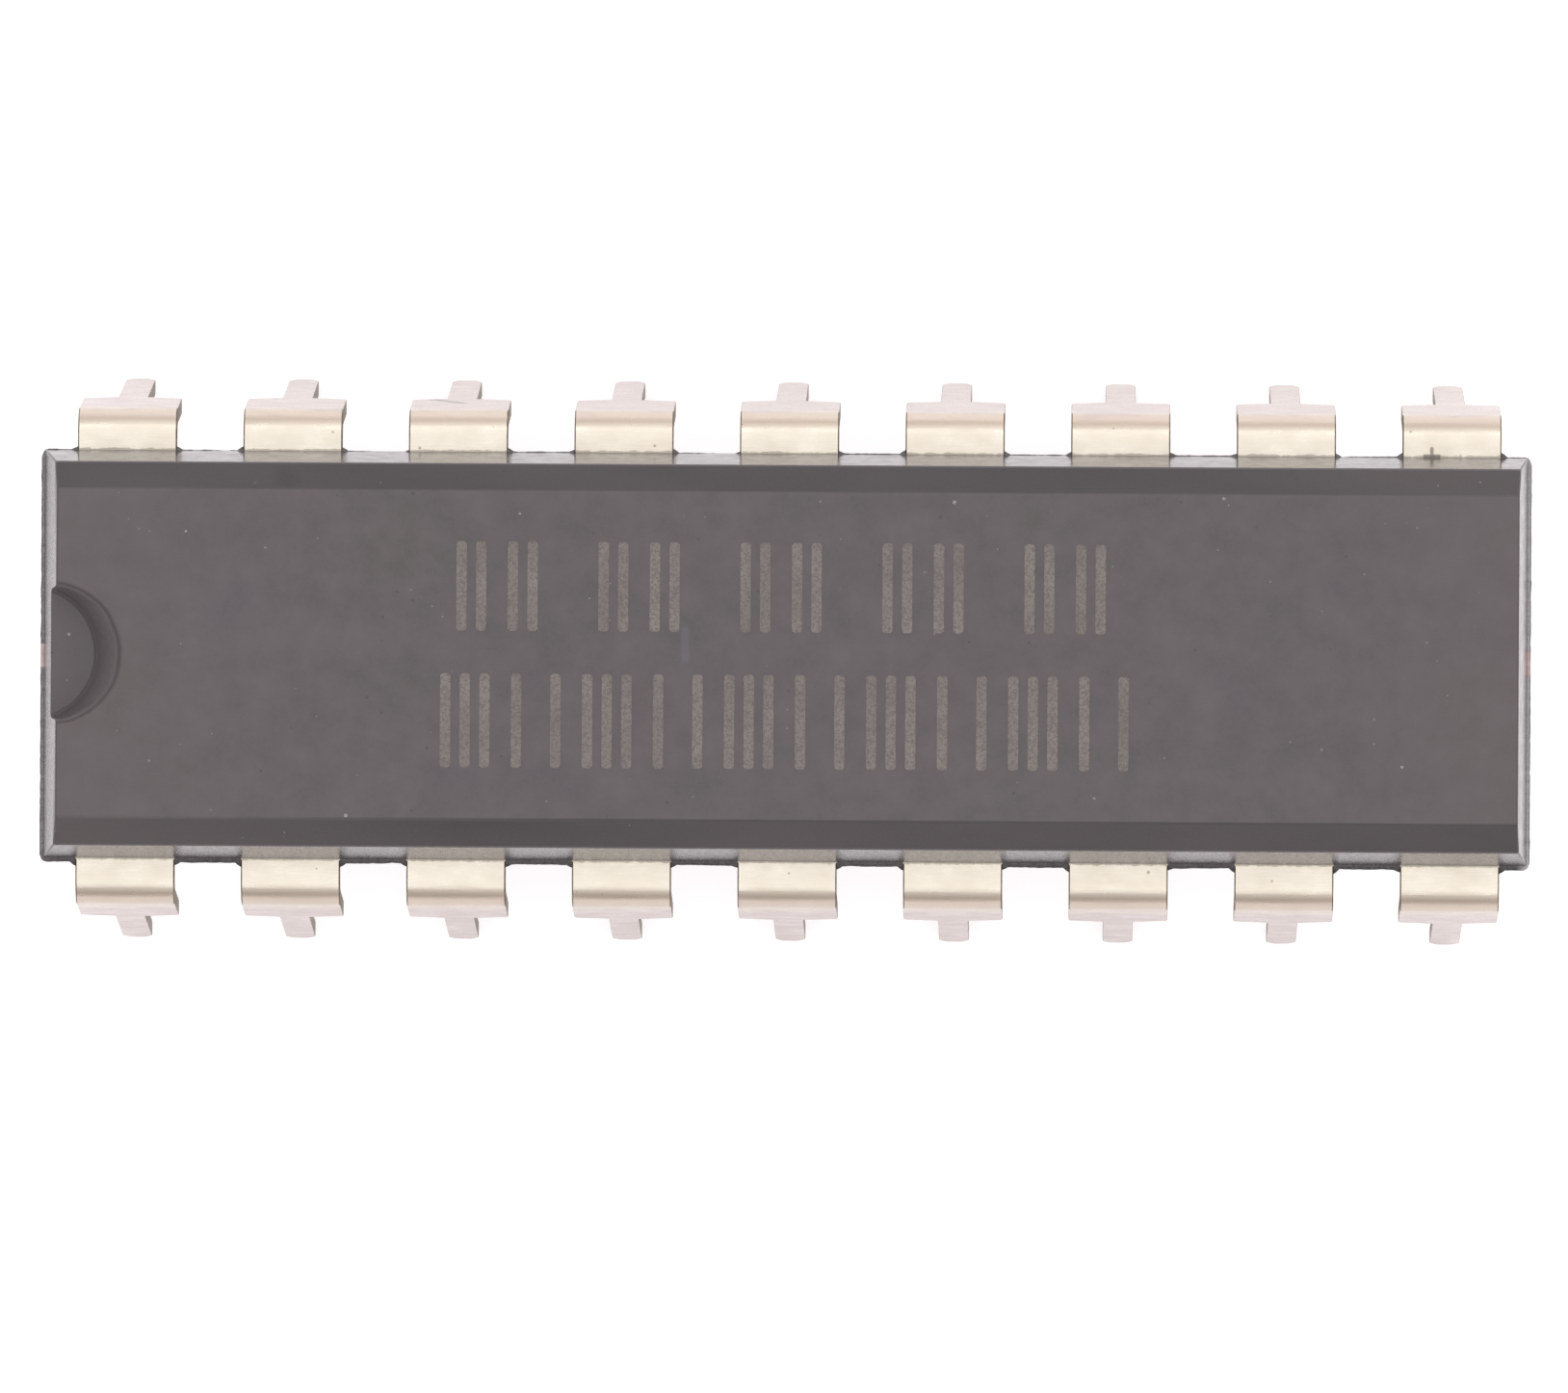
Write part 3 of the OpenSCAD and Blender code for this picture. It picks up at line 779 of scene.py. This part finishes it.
def bare_copper():
    """Copper alloy with rolling lines, tarnished in patches."""
    material, tree, shader = finish("bare_copper")
    tarnish = mottle_value(tree, 0.18 * MM, roughness=0.6)
    lines = mottle_value(tree, 0.02 * MM, (0.06, 1, 1), 0.6)
    copper = blend_colours(tree, tarnish, (0.42, 0.30, 0.30, 1), (0.60, 0.47, 0.48, 1))
    colour = blend_colours(tree, times(tree, lines, 0.3), copper, (0.34, 0.23, 0.22, 1))
    give_surface(tree, shader, colour, between(tree, tarnish, 0.5, 0.3), lines, 0.001 * MM)
    shader.inputs["Metallic"].default_value = 1.0
    return material


def put_on(node_name, material):
    """Gives a CAD node its finish."""
    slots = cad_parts[node_name].data.materials
    slots.clear()
    slots.append(material)


put_on("die_paddle", bare_copper())

# The chip is a polished piece of silicon with square blocks of circuitry under glass, held by
# silver-filled adhesive, and joined to the fingers by drawn gold wires.


def silicon():
    """Square blocks of circuitry and fine tracks under a clear glass coat."""
    material, tree, shader = finish("silicon")
    place = add_node(tree, "ShaderNodeTexCoord").outputs["Object"]
    blocks = add_node(
        tree, "ShaderNodeTexVoronoi", {"Vector": place, "Scale": 1 / (0.22 * MM)},
        distance="CHEBYCHEV")
    shade = add_node(tree, "ShaderNodeSeparateColor", {"Color": blocks.outputs["Color"]}).outputs[0]
    tracks = mottle_value(tree, 0.02 * MM, (1, 0.1, 1), 0.7)
    circuit = blend_colours(tree, shade, (0.05, 0.07, 0.13, 1), (0.20, 0.17, 0.24, 1))
    colour = blend_colours(tree, times(tree, tracks, 0.35), circuit, (0.42, 0.38, 0.30, 1))
    give_surface(tree, shader, colour, between(tree, shade, 0.12, 0.22))
    shader.inputs["Coat Weight"].default_value = 0.6
    return material


def silver_adhesive():
    """Grey paste with bright flakes in it."""
    material, tree, shader = finish("silver_adhesive")
    flakes = speck_mask(tree, 0.03 * MM, 0.7, 0.5)
    clouds = mottle_value(tree, 0.2 * MM)
    paste = blend_colours(tree, clouds, (0.42, 0.42, 0.44, 1), (0.55, 0.55, 0.56, 1))
    flaked = blend_colours(tree, flakes, paste, (0.85, 0.85, 0.86, 1))
    give_surface(tree, shader, flaked, between(tree, flakes, 0.55, 0.25))
    shader.inputs["Metallic"].default_value = 0.7
    return material


def drawn_gold():
    """Bright gold with fine lines along it from the drawing."""
    material, tree, shader = finish("drawn_gold")
    lines = mottle_value(tree, 0.008 * MM, (0.2, 0.2, 1), 0.6)
    colour = blend_colours(tree, lines, (0.88, 0.60, 0.22, 1), (1.0, 0.78, 0.38, 1))
    give_surface(tree, shader, colour, between(tree, lines, 0.28, 0.16))
    shader.inputs["Metallic"].default_value = 1.0
    return material


put_on("silicon_die", silicon())
put_on("die_attach", silver_adhesive())
gold = drawn_gold()
for node_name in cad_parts:
    if node_name.startswith("bond_wire_"):
        put_on(node_name, gold)

# The top carries two rows of plain upright bars, burned pale into the resin by a laser and worn
# thin in places.
bar_width = 0.158 * MM
bar_step = 0.30 * MM
bars_per_cell = 3
cell_pitch = 1.085 * MM
gap_every = 4
mark_height = 0.004 * MM
mark_lift = mark_height / 4
bar_corner = 0.05 * MM
bar_corner_steps = 4
mark_rows = ((1.09 * MM, 1.37 * MM, -5.36 * MM, 10), (-0.965 * MM, 1.44 * MM, -5.30 * MM, 10))


def bar_rows():
    """Every bar of both rows. The rule leaves one place in four empty."""
    bars = bmesh.new()
    for row_number, (row_y, row_height, row_start, cells) in enumerate(mark_rows):
        for cell in range(cells):
            for slot in range(bars_per_cell):
                if (2 * cell + slot + row_number) % gap_every == 0:
                    continue
                bar_x = row_start + cell * cell_pitch + slot * bar_step + bar_width / 2
                bar = bmesh.ops.create_cube(bars, size=1)["verts"]
                bmesh.ops.scale(bars, vec=(bar_width, row_height, mark_height), verts=bar)
                bmesh.ops.translate(bars, vec=(bar_x, row_y, top + mark_lift), verts=bar)
    upright = [edge for edge in bars.edges if abs(edge.verts[0].co.z - edge.verts[1].co.z) > weld]
    bmesh.ops.bevel(
        bars, geom=upright, offset=bar_corner, segments=bar_corner_steps, profile=0.5,
        affect="EDGES", material=-1, clamp_overlap=True,
    )
    return bars


def burned_marking():
    """Pale, powdery resin with bare grains between."""
    material, tree, shader = finish("burned_marking")
    grains = mottle_value(tree, 0.035 * MM, roughness=0.75)
    fade = mottle_value(tree, 0.8 * MM)
    powder = blend_colours(tree, fade, (0.146, 0.125, 0.116, 1), (0.200, 0.175, 0.162, 1))
    worn = spread(tree, grains, 0.30, 0.62, 0.75, 0.0)
    colour = blend_colours(tree, worn, powder, (0.100, 0.085, 0.083, 1))
    give_surface(tree, shader, colour, between(tree, grains, 0.75, 0.6), grains, 0.002 * MM)
    return material


bar_marks = new_piece("bar_marks", bar_rows())
bar_marks.data.materials.append(burned_marking())
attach(bar_marks, "root")

# A few grains of dust lie on the package, and one in the notch. Each is a flat, uneven crumb, a
# few hundredths of a millimetre across.
dust_places = (
    (2.54, 2.41, 0.030), (6.66, 2.48, 0.026), (-6.73, -2.43, 0.030), (-11.0, 0.32, 0.026),
    (-9.2, 1.9, 0.02), (9.4, -1.6, 0.022), (4.7, -2.1, 0.02), (-4.1, 2.2, 0.02),
)
dust_unevenness = 0.35
dust_lump = 0.03 * MM
dust_seed = Vector((7, 3, 0))
dust_flatness = 0.35

dust_shape = bmesh.new()
for grain_number, (dust_x, dust_y, dust_size) in enumerate(dust_places):
    in_notch = (Vector((dust_x, dust_y)) * MM - notch_floor_middle).length < notch_radius
    dust_z = notch_floor if in_notch else top
    grain = bmesh.ops.create_icosphere(dust_shape, subdivisions=3, radius=dust_size * MM)["verts"]
    for corner in grain:
        lump = wander(*(corner.co / dust_lump + dust_seed + Vector((0, 0, grain_number))))
        corner.co = corner.co * (1 + dust_unevenness * lump)
        corner.co.z *= dust_flatness
    bmesh.ops.translate(dust_shape, vec=(dust_x * MM, dust_y * MM, dust_z), verts=grain)
dust_specks = new_piece("dust_specks", dust_shape)
dust_specks.data.shade_smooth()
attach(dust_specks, "root")


def dust():
    """Dull grey lint."""
    material, tree, shader = finish("dust")
    lint = mottle_value(tree, 0.03 * MM, roughness=0.7)
    colour = blend_colours(tree, lint, (0.16, 0.15, 0.15, 1), (0.36, 0.35, 0.345, 1))
    give_surface(tree, shader, colour, between(tree, lint, 0.95, 0.8))
    return material


dust_specks.data.materials.append(dust())

# The floor is a white light table. The light is one large soft box overhead, inside a tent that is
# dimmer and warmer towards the horizon, dimmest on the side away from the light, and dark above
# the soft box.
table_half = 1.5
softbox_height = 0.45
softbox_side = 1.07
softbox_shift = 0.04
softbox_watts = 4.57
light_from = Vector((0.5, 0.8, 0)).normalized()
wall_foot, wall_top, roof_edge = 0.0, 0.60, 0.72

floor_shape = bmesh.new()
bmesh.ops.create_grid(floor_shape, x_segments=1, y_segments=1, size=table_half)
floor = new_piece("floor", floor_shape)
floor_material, _, floor_shader = finish("light_table")
floor_shader.inputs["Base Color"].default_value = (0.58, 0.57, 0.575, 1)
floor_shader.inputs["Roughness"].default_value = 0.6
floor_shader.inputs["Specular IOR Level"].default_value = 0.2
floor_shader.inputs["Emission Color"].default_value = (1.0, 0.965, 0.975, 1)
floor_shader.inputs["Emission Strength"].default_value = 0.69
floor.data.materials.append(floor_material)

softbox_data = bpy.data.lights.new("softbox", "AREA")
softbox_data.shape = "SQUARE"
softbox_data.size = softbox_side
softbox_data.energy = softbox_watts
softbox = bpy.data.objects.new("softbox", softbox_data)
softbox.location = light_from * softbox_shift + Vector((0, 0, softbox_height))
softbox.visible_camera = False
bpy.context.scene.collection.objects.link(softbox)

tent = bpy.data.worlds.new("tent")
bpy.context.scene.world = tent
tent.use_nodes = True
tent_tree = tent.node_tree
tent_light = tent_tree.nodes["Background"].inputs
direction = add_node(tent_tree, "ShaderNodeTexCoord").outputs["Generated"]
height = add_node(tent_tree, "ShaderNodeSeparateXYZ", {0: direction}).outputs["Z"]
tent_wall = blend_colours(
    tent_tree, spread(tent_tree, height, wall_foot, wall_top),
    (0.80, 0.74, 0.70, 1), (0.95, 0.93, 0.92, 1))
tent_colour = blend_colours(
    tent_tree, spread(tent_tree, height, wall_top, roof_edge), tent_wall, (0.03, 0.03, 0.03, 1))
tent_tree.links.new(tent_colour, tent_light["Color"])
towards_light = add_node(
    tent_tree, "ShaderNodeVectorMath", {0: direction, 1: light_from}, operation="DOT_PRODUCT")
strength = spread(tent_tree, towards_light.outputs["Value"], -0.9, 0.9, 0.80, 1.25)
tent_tree.links.new(strength, tent_light["Strength"])
bpy.context.scene.view_settings.view_transform = "Standard"
